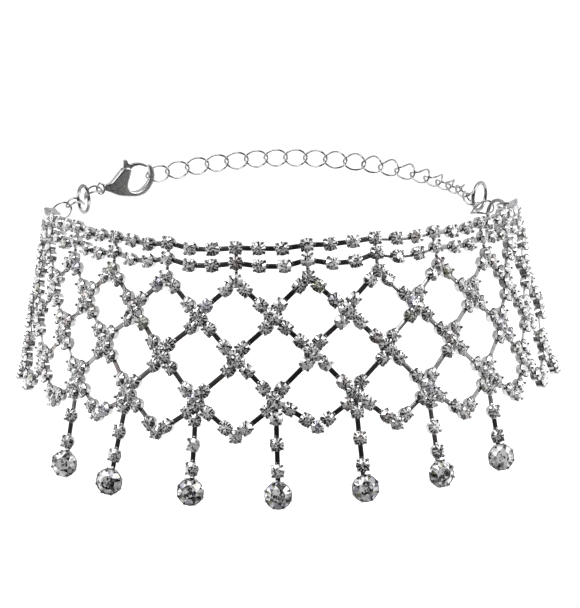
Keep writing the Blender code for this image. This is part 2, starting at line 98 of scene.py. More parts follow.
# ---------------------------------------------------------------- small cups
CUP_SIDES = 16
CUP_WALL = (
    # radius, height (mm) from the base up to the rim
    (1.00, -1.30),
    (1.26, -1.12),
    (1.38, -0.35),
)
CUP_RIM_RADIUS = 1.43
CUP_RIM = (0.36, 0.20, 0.02, 0.20)     # height at a prong, beside it, between
CUP_INSIDE = 1.29
CUP_FLOOR = -0.55
CUP_PRONG = (
    # radius, height, width, thickness (mm)
    (1.32, -0.15, 0.66, 0.20),
    (1.52, 0.26, 0.58, 0.22),
    (1.61, 0.56, 0.44, 0.22),
    (1.42, 0.84, 0.38, 0.18),
    (1.06, 0.95, 0.20, 0.12),
)
CUP_TWIST_DEG = 7.0
CUP_TILT_DEG = 7.0
BAR_HALF_WIDTH = 0.54
BAR_HEIGHT = -0.42
BAR_PROFILE = (
    # across, height (mm)
    (-0.52, -0.10), (-0.52, 0.07), (-0.44, 0.15), (-0.15, 0.17), (0.15, 0.17),
    (0.44, 0.15), (0.52, 0.07), (0.52, -0.10), (0.38, -0.17), (-0.38, -0.17),
)
BAR_INTO_CUP = 1.05
BAR_LUG_AT = 1.52             # the cup's lug that a bar is gripped in
BAR_LUG = (0.34, 0.60, 0.30)
WARM_BARS = 0.12              # share of the bars with a warm tarnish
SMALL_STONE = {"radius": 1.35, "girdle": 0.38, "table": 0.50, "crown": 0.42, "depth": 0.75}

# ---------------------------------------------------------------- drops
DROPS = (
    # column, swing (deg), turn about the strand (deg), stone centre and cup
    # centres below the crossing (mm)
    (-2.5, -1.5, -36.0, 18.6, (3.6, 8.4, 14.0)),
    (-1.5, -8.1, -24.0, 19.1, (3.4, 8.6, 13.6)),
    (-0.5, -1.5, -8.0, 18.2, (3.8, 8.8, 13.6)),
    (0.5, 0.0, 0.0, 19.2, (4.0, 9.1, 14.4)),
    (1.5, 0.8, 4.0, 19.2, (3.9, 9.2, 14.6)),
    (2.5, 0.0, 8.0, 18.1, (3.4, 8.6, 13.5)),
    (3.5, -3.0, 37.0, 17.8, (3.4, 8.3, 13.4)),
)
SETTING_WALL = (
    # radius, height (mm), outside from the back up, over the rim and down inside
    (1.75, -1.60), (2.35, -1.28), (2.66, -0.55), (2.80, 0.22), (2.74, 0.32),
    (2.62, 0.22), (2.50, -0.45),
)
SETTING_PRONGS = 8
SETTING_PRONG = (
    # radius, height, width, thickness (mm)
    (2.76, -0.50, 0.62, 0.14),
    (2.86, 0.20, 0.56, 0.20),
    (2.88, 0.62, 0.50, 0.22),
    (2.62, 0.92, 0.46, 0.20),
    (2.34, 0.98, 0.34, 0.12),
)
BIG_STONE = {"radius": 2.62, "girdle": 0.34, "table": 0.56, "crown": 1.02, "depth": 1.7}

# ---------------------------------------------------------------- chain
LINK_LENGTH = 6.1
LINK_WIDTH = 4.4
LINK_WIRE = 0.5
LINK_TWIST_DEG = 40.0
EXTENDER_LINKS = 20
FACING = Vector((0.0, -0.97, 0.2))
# the links roll over towards the right end, where the chain lies flatter
LINK_ROLL = (
    # link, roll (deg)
    (1, 0.0),
    (12, 0.0),
    (16, -40.0),
    (20, -55.0),
)
EXTENDER_ROUTE = (
    # x, y, z (mm)
    (-29.0, 20.9, 4.4),
    (-19.7, 22.8, 5.7),
    (-10.3, 25.1, 6.3),
    (-1.0, 27.4, 6.3),
    (8.4, 28.9, 5.6),
    (17.8, 27.2, 4.7),
    (25.7, 21.9, 3.8),
    (32.6, 15.4, 2.6),
    (37.7, 7.3, 1.6),
    (41.1, -1.6, 0.9),
    (42.0, -6.2, -0.2),
)
HOOKED_LINK = (-28.98, 20.7, 4.45, 0.955, 0.249, 0.159, 0.144, -0.862, 0.487)
RING_DIAMETER = 7.0
RING_WIRE = 0.85
RING_GAP_DEG = 3.0
RINGS = (
    # name, centre x, y, z (mm), normal x, y, z
    ("jump_ring_left_end", -50.42, -2.37, -2.42, 0.86, 0.248, 0.447),
    ("jump_ring_clasp", -45.42, 7.94, 1.13, 0.955, -0.289, 0.067),
    ("jump_ring_extender", 44.23, -4.65, 0.19, 0.834, -0.546, -0.079),
    ("jump_ring_right_end", 47.86, -7.42, -3.49, 0.803, 0.572, -0.166),
)
SHORT_LINKS = (
    # name, centre x, y, z (mm), along x, y, z, face x, y, z
    ("link_left_1", -50.2, 0.89, -0.56, 0.837, 0.337, 0.431, -0.001, -0.786, 0.618),
    ("link_left_2", -46.93, 3.3, 1.0, 0.326, 0.944, 0.052, -0.007, -0.053, 0.999),
    ("link_left_3", -43.81, 12.41, 1.97, 0.475, 0.834, 0.282, -0.279, -0.162, 0.947),
    ("link_right_1", 44.77, -5.11, -2.61, 0.918, 0.274, 0.288, -0.132, -0.471, 0.872),
)

# ---------------------------------------------------------------- clasp
CLASP_EYE = (-41.99, 14.3, 2.69)
CLASP_ALONG = Vector((8.6, 4.5, 1.1))
CLASP_THICKNESS = 2.2
CLASP_ROUNDING = 0.42
CLASP_TAPER = (
    # along (mm), share of the full thickness
    (1.0, 0.55),
    (3.0, 0.9),
    (5.0, 1.0),
    (8.5, 1.0),
    (11.5, 0.66),
    (14.0, 0.62),
)
EYE_RADIUS_ALONG = 0.95
EYE_RADIUS_ACROSS = 1.25
EYE_CENTRE_ACROSS = -0.2
PIVOT = (6.9, 2.1)
PIN_RADIUS = 0.3
LEVER_BORE = 0.58
LEVER_THICKNESS = 0.9
LEVER_ROUNDING = 0.16
SLOT_WIDTH = 1.5
SLOT_RADIUS = 1.35
CLASP_OUTLINE = (
    # along, across (mm), clockwise from the eye
    (0.95, 0.35), (2.5, 0.65), (3.9, 1.6), (5.0, 2.5), (6.0, 3.2), (7.0, 3.45),
    (7.75, 3.1), (8.05, 2.3), (7.45, 1.0), (6.7, -0.6), (6.7, -1.7), (7.5, -2.45),
    (8.7, -2.7), (10.0, -2.4), (11.3, -1.55), (12.3, -0.4), (12.6, 0.6),
    (12.66, 1.4), (12.66, 2.0), (12.7, 2.5), (13.0, 2.85), (13.4, 2.5),
    (13.75, 1.5), (13.8, 0.1), (13.35, -1.2),
    (12.4, -2.5), (11.0, -3.6), (9.2, -4.0), (7.6, -3.8), (5.2, -3.2),
    (3.6, -2.6), (2.1, -1.6), (0.95, -0.85),
)
LEVER_OUTLINE = (
    # along, across (mm), clockwise from its nub
    (6.35, 3.3), (6.6, 4.3), (6.8, 5.1), (7.5, 5.1), (7.75, 4.3), (8.4, 3.95),
    (9.5, 4.0), (10.6, 3.85), (11.7, 3.35), (12.35, 2.75), (12.1, 2.3),
    (11.3, 2.75), (10.4, 3.1), (9.4, 3.15), (8.5, 2.9), (7.9, 2.2),
    (7.55, 1.35), (6.9, 1.1), (6.2, 1.35), (5.9, 2.1), (6.0, 2.8),
)

# ---------------------------------------------------------------- studio
CAMERA_ELEVATION = 0.2069     # radians
CAMERA_ROLL = 0.0388
CAMERA_DISTANCE = 450.9       # mm from the point that it looks at
CAMERA_TARGET = (1.00, 0.0, -23.68)
FOCAL_PIXELS = 1974.5
PICTURE_HEIGHT = 608
SENSOR = 36.0
FLOOR_Z = -85.0

# how bright each direction of the studio is, by the cosine from the front
FRONT_TO_BACK = (
    # place on the ramp from back (0) to front (1), grey
    (0.00, 0.45),
    (0.04, 0.85),
    (0.28, 1.05),
    (0.48, 0.95),
    (0.63, 0.50),
    (0.76, 0.08),
    (1.00, 0.015),
)
OVERHEAD = (
    # place on the ramp from straight down (0) to straight up (1), grey
    (0.93, 0.0),
    (0.99, 0.25),
)
STUDIO_STRENGTH = 1.0


# ---------------------------------------------------------------- helpers
class Build:
    """Points, faces and a material number per face, in millimetres."""

    def __init__(self):
        self.verts = []
        self.faces = []
        self.mats = []

    def add(self, verts, faces, mat=0):
        base = len(self.verts)
        self.verts.extend(verts)
        for face in faces:
            self.faces.append(tuple(base + i for i in face))
            self.mats.append(mat)

    def put(self, other, turn, mats=None):
        """Another build, placed by a matrix in millimetres."""
        base = len(self.verts)
        self.verts.extend(turn @ v for v in other.verts)
        self.faces.extend(tuple(base + i for i in face) for face in other.faces)
        self.mats.extend(other.mats if mats is None else mats)

    def object(self, name, materials, sharp=None):
        mesh = bpy.data.meshes.new(name)
        mesh.from_pydata([v * MM for v in self.verts], [], self.faces)
        for mat in materials:
            mesh.materials.append(mat)
        mesh.polygons.foreach_set("material_index", self.mats)
        mesh.update()
        if sharp is not None:
            mesh.shade_smooth()
            mesh.set_sharp_from_angle(angle=math.radians(sharp))
        obj = bpy.data.objects.new(name, mesh)
        bpy.context.scene.collection.objects.link(obj)
        return obj


def axes(along, facing):
    x = Vector(along).normalized()
    z = Vector(facing)
    z = (z - x * z.dot(x)).normalized()
    return Matrix((x, z.cross(x), z)).transposed().to_4x4()


def spin_z(deg):
    return Matrix.Rotation(math.radians(deg), 4, "Z")


def ring_faces(sides, rings, start=0):
    """Quads between stacked rings of points."""
    faces = []
    for r in range(rings - 1):
        for i in range(sides):
            j = (i + 1) % sides
            a, b = start + r * sides, start + (r + 1) * sides
            faces.append((a + i, a + j, b + j, b + i))
    return faces


def column_values(number):
    first = COLUMNS[0][0]
    place = min(max(number - first, 0.0), len(COLUMNS) - 1.0)
    low = min(int(place), len(COLUMNS) - 2)
    part = place - low
    a, b = COLUMNS[low], COLUMNS[low + 1]
    return tuple(a[i] + (b[i] - a[i]) * part for i in (1, 2, 3))


def surface(number, slant):
    """Point of the net's surface in millimetres, at a column and a slant."""
    angle, lift, stretch = column_values(number)
    t = math.radians(angle)
    x = NECK_HALF_WIDTH * math.sin(t)
    y = -NECK_HALF_DEPTH * math.cos(t)
    out = Vector((NECK_HALF_DEPTH * math.sin(t), -NECK_HALF_WIDTH * math.cos(t), 0))
    out.normalize()
    slant = slant * (1 + stretch)
    flare = math.radians(FLARE_DEG)
    point = Vector((x, y, 0)) + out * slant * math.sin(flare)
    point.z = lift - slant * math.cos(flare)
    return point


def surface_axes(number):
    """Directions at a column: round the neck, down the flare, outward."""
    number = min(max(number, COLUMNS[0][0] + 0.1), COLUMNS[-1][0] - 0.1)
    step = (surface(number + 0.05, 0) - surface(number - 0.05, 0)).normalized()
    down = (surface(number, 30) - surface(number, 0)).normalized()
    across = (step - down * step.dot(down)).normalized()
    return across, down, down.cross(across)


# ---------------------------------------------------------------- materials
def material(name, colour, roughness, metallic=1.0, coat=0.0, coat_roughness=0.03):
    mat = bpy.data.materials.new(name)
    mat.use_nodes = True
    shader = mat.node_tree.nodes["Principled BSDF"]
    shader.inputs["Base Color"].default_value = (*colour, 1.0)
    shader.inputs["Roughness"].default_value = roughness
    shader.inputs["Metallic"].default_value = metallic
    shader.inputs["Coat Weight"].default_value = coat
    shader.inputs["Coat Roughness"].default_value = coat_roughness
    mat.diffuse_color = (*colour, 1.0)
    return mat, shader


def plated(name, colour, dull, roughness, dull_roughness, scale=900.0, ridge=0.0,
           low=0.42, high=0.72):
    """Bright plating with small duller patches, fine ripples in its polish."""
    mat, shader = material(name, colour, roughness)
    nodes, links = mat.node_tree.nodes, mat.node_tree.links
    place = nodes.new("ShaderNodeTexCoord")
    cloud = nodes.new("ShaderNodeTexNoise")
    cloud.inputs["Scale"].default_value = scale
    cloud.inputs["Detail"].default_value = 5.0
    cloud.inputs["Roughness"].default_value = 0.6
    links.new(place.outputs["Object"], cloud.inputs["Vector"])
    patch = nodes.new("ShaderNodeMapRange")
    patch.inputs["From Min"].default_value = low
    patch.inputs["From Max"].default_value = high
    links.new(cloud.outputs["Fac"], patch.inputs["Value"])
    tone = nodes.new("ShaderNodeMix")
    tone.data_type = "RGBA"
    tone.inputs["A"].default_value = (*colour, 1.0)
    tone.inputs["B"].default_value = (*dull, 1.0)
    links.new(patch.outputs["Result"], tone.inputs["Factor"])
    links.new(tone.outputs["Result"], shader.inputs["Base Color"])
    rough = nodes.new("ShaderNodeMapRange")
    rough.inputs["To Min"].default_value = roughness
    rough.inputs["To Max"].default_value = dull_roughness
    links.new(patch.outputs["Result"], rough.inputs["Value"])
    links.new(rough.outputs["Result"], shader.inputs["Roughness"])
    if ridge > 0:
        ripple = nodes.new("ShaderNodeTexNoise")
        ripple.inputs["Scale"].default_value = scale * 1.7
        ripple.inputs["Detail"].default_value = 2.0
        links.new(place.outputs["Object"], ripple.inputs["Vector"])
        bump = nodes.new("ShaderNodeBump")
        bump.inputs["Strength"].default_value = ridge
        bump.inputs["Distance"].default_value = 0.00006
        links.new(ripple.outputs["Fac"], bump.inputs["Height"])
        links.new(bump.outputs["Normal"], shader.inputs["Normal"])
    return mat


def facet(name, colour, roughness=0.06):
    """A face of a stone under clear polished glass: its colour is a painted reflection, except for the stones'
    tints.
    """
    mat, shader = material(name, colour, roughness, metallic=0.36, coat=1.0,
                           coat_roughness=0.02)
    nodes, links = mat.node_tree.nodes, mat.node_tree.links
    place = nodes.new("ShaderNodeTexCoord")
    grain = nodes.new("ShaderNodeTexNoise")
    grain.inputs["Scale"].default_value = 2500.0
    grain.inputs["Detail"].default_value = 3.0
    links.new(place.outputs["Object"], grain.inputs["Vector"])
    rough = nodes.new("ShaderNodeMapRange")
    rough.inputs["To Min"].default_value = roughness * 0.6
    rough.inputs["To Max"].default_value = roughness * 1.8
    links.new(grain.outputs["Fac"], rough.inputs["Value"])
    links.new(rough.outputs["Result"], shader.inputs["Roughness"])
    return mat


# ---------------------------------------------------------------- stones
# painted reflections: black to white tones stand in for the dark front studio and bright lamps that the
# stones' faces reflect; rose, olive and violet tint some stones, and olive and violet also paint colour
# flashes in the large stones' crowns
FACET_PAINTED_REFLECTIONS = (
    # name, red, green, blue
    ("painted_reflection_black", 0.012, 0.012, 0.014),
    ("painted_reflection_smoke", 0.10, 0.10, 0.105),
    ("painted_reflection_grey", 0.36, 0.36, 0.37),
    ("painted_reflection_pale", 0.84, 0.85, 0.86),
    ("painted_reflection_white", 1.0, 1.0, 1.0),
    ("facet_rose", 0.42, 0.35, 0.33),
    ("facet_olive", 0.36, 0.36, 0.27),
    ("facet_violet", 0.44, 0.43, 0.54),
)
BLACK, SMOKE, GREY, PALE, WHITE, ROSE, OLIVE, VIOLET = range(len(FACET_PAINTED_REFLECTIONS))
# painted reflections: the tones that each zone's faces are drawn from
TABLE_PAINTED_REFLECTIONS = (BLACK, BLACK, SMOKE, GREY, PALE, WHITE, WHITE)
CROWN_PAINTED_REFLECTIONS = (GREY, PALE, WHITE, WHITE, WHITE)
STAR_PAINTED_REFLECTIONS = (BLACK, SMOKE, GREY, PALE, WHITE, WHITE)
# painted light: how far round the stones start to be painted lighter (sideways part of the normal), and how
# much
SIDE_LIGHT_FROM = 0.70
SIDE_PAINTED_LIGHT = 0.9
TABLE_RINGS = {
    # share of the table's radius, turn in steps; large stones have more
    False: ((0.50, 0.5),),
    True: ((0.74, 1.0), (0.46, 0.5), (0.22, 1.0)),
}


def gem(size, corners, fine):
    """A round stone: table, star, main and (on large stones) break facets.

    Its faces carry the zone they belong to: 0 table, 1 star, 2 crown, 3 pavilion.
    """
    radius, girdle = size["radius"], size["girdle"]
    top = girdle + size["crown"]
    points = 2 * corners
    step = 2 * math.pi / corners

    def around(distance, turn, height):
        return Vector((distance * math.cos(turn), distance * math.sin(turn), height))

    table = [around(radius * size["table"], step * (i + 0.5), top) for i in range(corners)]
    edge = [around(radius, step / 2 * j, girdle) for j in range(points)]
    low = [v + Vector((0, 0, -0.06 * radius)) for v in edge]
    inner = [[around(radius * size["table"] * share, step * (i + shift), top)
              for i in range(corners)] for share, shift in TABLE_RINGS[fine]]
    verts = table + edge + low
    verts += [v for ring in inner for v in ring]
    t, e, w, n = 0, corners, corners + points, corners + 2 * points
    c = n + corners * len(inner)
    p = c + 1
    verts += [Vector((0, 0, top)), Vector((0, 0, girdle - size["depth"]))]
    zones = []
    # painted reflection of the pavilion seen through the table: the flat table cut into rings of triangles,
    # turn by turn, each to take its own tone
    outer, shift = t, 0.5
    for level, (_, turned) in enumerate(TABLE_RINGS[fine]):
        here = n + corners * level
        for i in range(corners):
            k = (i + 1) % corners
            if turned == shift:
                zones.append(((outer + i, outer + k, here + k), 0))
                zones.append(((outer + i, here + k, here + i), 0))
            elif turned > shift:
                zones.append(((outer + i, outer + k, here + i), 0))
                zones.append(((here + i, outer + k, here + k), 0))
            else:
                zones.append(((outer + i, outer + k, here + k), 0))
                zones.append(((outer + i, here + k, here + i), 0))
        outer, shift = here, turned
    for i in range(corners):
        zones.append(((outer + i, outer + (i + 1) % corners, c), 0))
    middle = (1 + size["table"]) / 2 * 1.04
    m = len(verts)
    if fine:
        verts += [around(radius * middle, step * (i + 1), girdle + size["crown"] * 0.50)
                  for i in range(corners)]
    for i in range(corners):
        k = (i + 1) % corners
        j = 2 * i + 1                           # girdle point under the table corner
        if fine:
            zones.append(((t + i, m + i, t + k), 1))
            zones.append(((t + i, e + j, m + i), 2))
            zones.append(((m + i, e + (j + 2) % points, t + k), 2))
            zones.append(((m + i, e + j, e + (j + 1) % points), 2))
            zones.append(((m + i, e + (j + 1) % points, e + (j + 2) % points), 2))
        else:
            zones.append(((t + i, e + (j - 1) % points, e + j), 2))
            zones.append(((t + i, e + j, e + (j + 1) % points), 2))
            zones.append(((t + i, e + (j + 1) % points, t + k), 1))
    for j in range(points):
        k = (j + 1) % points
        zones.append(((e + j, w + j, w + k, e + k), 3))
        zones.append(((w + j, p, w + k), 3))
    build = Build()
    build.verts = verts
    build.faces = [z[0] for z in zones]
    build.mats = [z[1] for z in zones]
    return build


def painted_reflection_tones(shape, chance, tint, side):
    """A painted reflection tone for each face, as the light falls through this one stone.

    side is 0 for the stones in front and rises to 1 at the sides, which catch more light and are painted
    lighter.
    """
    tones = []
    swing = chance.randrange(8)
    for place, zone in enumerate(shape.mats):
        if zone == 3:
            tone = SMOKE
        elif zone == 0:
            tone = chance.choice(TABLE_PAINTED_REFLECTIONS)
        elif zone == 1:
            tone = chance.choice(STAR_PAINTED_REFLECTIONS)
        else:
            tone = chance.choice(CROWN_PAINTED_REFLECTIONS)
            # painted dark reflections on every third crown face
            if (place + swing) % 3 == 0:
                tone = chance.choice((BLACK, SMOKE))
        # painted light: on the side stones dark faces are turned pale or white
        if tone in (BLACK, SMOKE) and chance.random() < side * SIDE_PAINTED_LIGHT:
            tone = chance.choice((PALE, WHITE))
        if tint is not None and tone in (GREY, PALE):
            tone = tint
        tones.append(tone)
    return tones


# ---------------------------------------------------------------- settings
def claw(build, sections, angle, mat=0):
    """A bent prong of rectangular section, out at an angle."""
    c, s = math.cos(math.radians(angle)), math.sin(math.radians(angle))
    verts = []
    count = len(sections)
    for k, (radius, height, width, thick) in enumerate(sections):
        before, after = sections[max(k - 1, 0)], sections[min(k + 1, count - 1)]
        run = Vector((after[0] - before[0], after[1] - before[1])).normalized()
        side = Vector((run.y, -run.x)) * thick / 2
        for du, dr in ((-1, -1), (1, -1), (1, 1), (-1, 1)):
            r = radius + side.x * dr
            z = height + side.y * dr
            w = du * width / 2
            verts.append(Vector((r * c - w * s, r * s + w * c, z)))
    faces = []
    for k in range(count - 1):
        a, b = 4 * k, 4 * (k + 1)
        for i in range(4):
            j = (i + 1) % 4
            faces.append((a + i, a + j, b + j, b + i))
    faces.append((0, 3, 2, 1))
    last = 4 * (count - 1)
    faces.append((last, last + 1, last + 2, last + 3))
    build.add(verts, faces, mat)


def small_cup():
    """A pressed square-cornered cup with four claws."""
    build = Build()
    n = CUP_SIDES

    def ring(radius, height):
        return [Vector((radius * math.cos(math.radians(360 / n * i)),
                        radius * math.sin(math.radians(360 / n * i)),
                        height(i) if callable(height) else height)) for i in range(n)]

    def rim(i):
        # prongs stand at 45, 135, 225 and 315 degrees
        return CUP_RIM[min((i - 2) % 4, (2 - i) % 4)]

    verts = []
    for radius, height in CUP_WALL:
        verts += ring(radius, height)
    verts += ring(CUP_RIM_RADIUS, rim)
    verts += ring(CUP_INSIDE, rim)
    verts += ring(CUP_INSIDE * 0.92, CUP_FLOOR)
    rings = len(CUP_WALL) + 3
    faces = ring_faces(n, rings)
    faces.append(tuple(reversed(range(n))))
    faces.append(tuple((rings - 1) * n + i for i in range(n)))
    build.add(verts, faces)
    for angle in (45, 135, 225, 315):
        claw(build, CUP_PRONG, angle)
    return build


def big_setting():
    build = Build()
    n = 48
    verts = []
    for radius, height in SETTING_WALL:
        verts += [Vector((radius * math.cos(2 * math.pi * i / n),
                          radius * math.sin(2 * math.pi * i / n), height)) for i in range(n)]
    faces = ring_faces(n, len(SETTING_WALL))
    faces.append(tuple(reversed(range(n))))
    faces.append(tuple((len(SETTING_WALL) - 1) * n + i for i in range(n)))
    build.add(verts, faces)
    for k in range(SETTING_PRONGS):
        claw(build, SETTING_PRONG, 360 / SETTING_PRONGS * (k + 0.5))
    return build


def bar(build, start, end, outward, mat=0):
    """A flat grooved bar between two points, ends hidden in the cups."""
    along = end - start
    length = along.length
    turn = Matrix.Translation(start) @ axes(along, outward)
    verts = []
    for x in (0.0, length):
        verts += [turn @ Vector((x, y, z)) for y, z in BAR_PROFILE]
    n = len(BAR_PROFILE)
    faces = [tuple(reversed(range(n))), tuple(range(n, 2 * n))]
    faces += [(i, (i + 1) % n, n + (i + 1) % n, n + i) for i in range(n)]
    build.add(verts, faces, mat)


def tube(build, points, radius, sides=8, closed=False, mat=0):
    """A round wire along points in millimetres."""
    count = len(points)
    verts = []
    normal = None
    rings = []
    for k in range(count):
        if closed:
            run = points[(k + 1) % count] - points[(k - 1) % count]
        else:
            run = points[min(k + 1, count - 1)] - points[max(k - 1, 0)]
        run.normalize()
        if normal is None:
            helper = Vector((0, 0, 1)) if abs(run.z) < 0.9 else Vector((1, 0, 0))
            normal = (helper - run * helper.dot(run)).normalized()
        else:
            normal = (normal - run * normal.dot(run)).normalized()
        rings.append((points[k], run, normal.copy()))
    twist = 0.0
    if closed:
        last = rings[-1][2]
        run0 = rings[0][1]
        carried = (last - run0 * last.dot(run0)).normalized()
        twist = math.atan2(rings[0][2].cross(carried).dot(run0), rings[0][2].dot(carried))
    for k, (point, run, normal) in enumerate(rings):
        other = run.cross(normal)
        turn = -twist * k / count
        for i in range(sides):
            a = 2 * math.pi * i / sides + turn
            verts.append(point + (normal * math.cos(a) + other * math.sin(a)) * radius)
    faces = []
    for k in range(count if closed else count - 1):
        a, b = k * sides, ((k + 1) % count) * sides
        for i in range(sides):
            j = (i + 1) % sides
            faces.append((a + i, a + j, b + j, b + i))
    if not closed:
        faces.append(tuple(reversed(range(sides))))
        faces.append(tuple((count - 1) * sides + i for i in range(sides)))
    build.add(verts, faces, mat)


def blob(build, centre, radii, turn, mat=0, sides=10, rings=5):
    """A small drop of solder."""
    verts = [Vector((0, 0, -1))]
    for r in range(1, rings + 1):
        a = -math.pi / 2 + math.pi * r / (rings + 1)
        verts += [Vector((math.cos(a) * math.cos(2 * math.pi * i / sides),
                          math.cos(a) * math.sin(2 * math.pi * i / sides), math.sin(a)))
                  for i in range(sides)]
    verts.append(Vector((0, 0, 1)))
    faces = ring_faces(sides, rings, 1)
    top = len(verts) - 1
    for i in range(sides):
        j = (i + 1) % sides
        faces.append((0, 1 + j, 1 + i))
        faces.append((top, top - sides + i, top - sides + j))
    place = Matrix.Translation(centre) @ turn
    build.add([place @ Vector((v.x * radii[0], v.y * radii[1], v.z * radii[2]))
               for v in verts], faces, mat)


# ---------------------------------------------------------------- net pieces
class Net:
    """Collects cups, stones and bars that are joined into one mesh each."""

    def __init__(self, chance):
        self.cups = Build()
        self.stones = Build()
        self.bars = Build()
        self.chance = chance
        self.cup = small_cup()
        self.stone = gem(SMALL_STONE, 11, False)

    def tint(self):
        draw = self.chance.random()
        if draw < 0.07:
            return ROSE
        if draw < 0.12:
            return OLIVE
        if draw < 0.16:
            return VIOLET
        return None

    def place_cup(self, centre, along, outward, turn=0.0):
        chance = self.chance
        frame_here = Matrix.Translation(centre) @ axes(along, outward)
        lean = (Matrix.Rotation(math.radians(chance.uniform(-1, 1) * CUP_TILT_DEG), 4, "X")
                @ Matrix.Rotation(math.radians(chance.uniform(-1, 1) * CUP_TILT_DEG), 4, "Y"))
        here = frame_here @ lean @ spin_z(turn + chance.uniform(-1, 1) * CUP_TWIST_DEG)
        # how far the cup faces sideways, for the painted lighter reflections of the side stones
        side = max(0.0, (abs(outward.normalized().x) - SIDE_LIGHT_FROM) / (1 - SIDE_LIGHT_FROM))
        self.cups.put(self.cup, here)
        self.stones.put(self.stone, here @ spin_z(chance.choice((0, 45, 90))),
                        painted_reflection_tones(self.stone, chance, self.tint(), side))

    def place_bar(self, a, b, outward, into=BAR_INTO_CUP):
        step = (b - a).normalized()
        back = outward * BAR_HEIGHT
        bar(self.bars, a + step * into + back, b - step * into + back, outward,
            1 if self.chance.random() < WARM_BARS else 0)
        if (b - a).length > 2 * BAR_LUG_AT + 1.0:
            turn = axes(step, outward)
            for lug in (a + step * BAR_LUG_AT, b - step * BAR_LUG_AT):
                blob(self.cups, lug + back, BAR_LUG, turn, 0, 8, 3)


def build_rows(net):
    first, last = COLUMNS[0][0], COLUMNS[-1][0]
    count = (last - first) * CUPS_PER_PERIOD
    for row in ("top", "second"):
        spots = []
        for i in range(count + 1):
            number = first + i / CUPS_PER_PERIOD
            sag = 0.0
            if i % CUPS_PER_PERIOD:
                sag = ROW_SAG[row] + net.chance.uniform(-1, 1) * SAG_VARIES
                number += net.chance.uniform(-1, 1) * 0.012
            spots.append((surface(number, ROWS[row] + sag), surface_axes(number)))
        for i, (point, (across, down, outward)) in enumerate(spots):
            before = spots[max(i - 1, 0)][0]
            after = spots[min(i + 1, count)][0]
            net.place_cup(point, after - before, outward)
            if i < count:
                net.place_bar(point, spots[i + 1][0], outward)


def build_strands(net):
    first, last = COLUMNS[0][0], COLUMNS[-1][0]
    for upper, lower, top_on_half in STRANDS:
        turns = []
        for half_step in range(2 * (last - first) + 1):
            number = first + half_step / 2
            at_top = (half_step % 2 == 1) == top_on_half
            across = surface_axes(number)[0]
            if at_top:
                crossing = upper != "first_turn"
                slant = ROWS[upper] + (BELOW_CROSSING if crossing else 0)
                side = CROSSING_SIDE if crossing else 0
            else:
                crossing = lower != "tips"
                slant = ROWS[lower] - (ABOVE_CROSSING if crossing else 0)
                side = -CROSSING_SIDE if crossing else 0
            turns.append((number, surface(number, slant) + across * side, at_top))
        for number, point, at_top in turns:
            across, down, outward = surface_axes(number)
            net.place_cup(point, across, outward)
        for (n0, p0, _), (n1, p1, _) in zip(turns, turns[1:]):
            across, down, outward = surface_axes((n0 + n1) / 2)
            step = (p1 - p0).normalized()
            near = p0 + step * NEXT_CUP
            far = p1 - step * NEXT_CUP
            net.place_cup(near, step, outward)
            net.place_cup(far, step, outward)
            net.place_bar(near, far, outward)
            net.place_bar(p0, near, outward, 0.6)
            net.place_bar(far, p1, outward, 0.6)


def build_posts(net):
    """Solder between the rows at each column, and at the crossings."""
    for number, *_ in COLUMNS:
        across, down, outward = surface_axes(number)
        turn = axes(across, outward)
        for upper, lower in (("top", "second"), ("second", "first_turn")):
            centre = surface(number, (ROWS[upper] + ROWS[lower]) / 2) - outward * 0.35
            blob(net.bars, centre, (0.42, 0.75, 0.40), turn)
    first, last = COLUMNS[0][0], COLUMNS[-1][0]
    for row, half in (("first_crossing", 1), ("second_crossing", 0), ("third_crossing", 1)):
        for k in range(half, 2 * (last - first) + 1, 2):
            number = first + k / 2
            across, down, outward = surface_axes(number)
            blob(net.bars, surface(number, ROWS[row]) - outward * 0.45,
                 (0.75, 0.95, 0.42), axes(across, outward))


def build_end_eyes(net):
    for number, dx, dy, dz, half, turn in END_EYES:
        corner = surface(number, 0)
        along = Vector((dx, dy, dz)).normalized()
        up = Vector((0, 0, 1))
        up = (up - along * up.dot(along)).normalized()
        up = up * math.cos(math.radians(turn)) + up.cross(along) * math.sin(math.radians(turn))
        centre = corner + along * (half + 0.15)
        loop = [centre + along * half * math.cos(2 * math.pi * i / 32)
                + up * EYE_HALF_WIDTH * math.sin(2 * math.pi * i / 32) for i in range(32)]
        tube(net.bars, loop, EYE_WIRE / 2, 10, True)


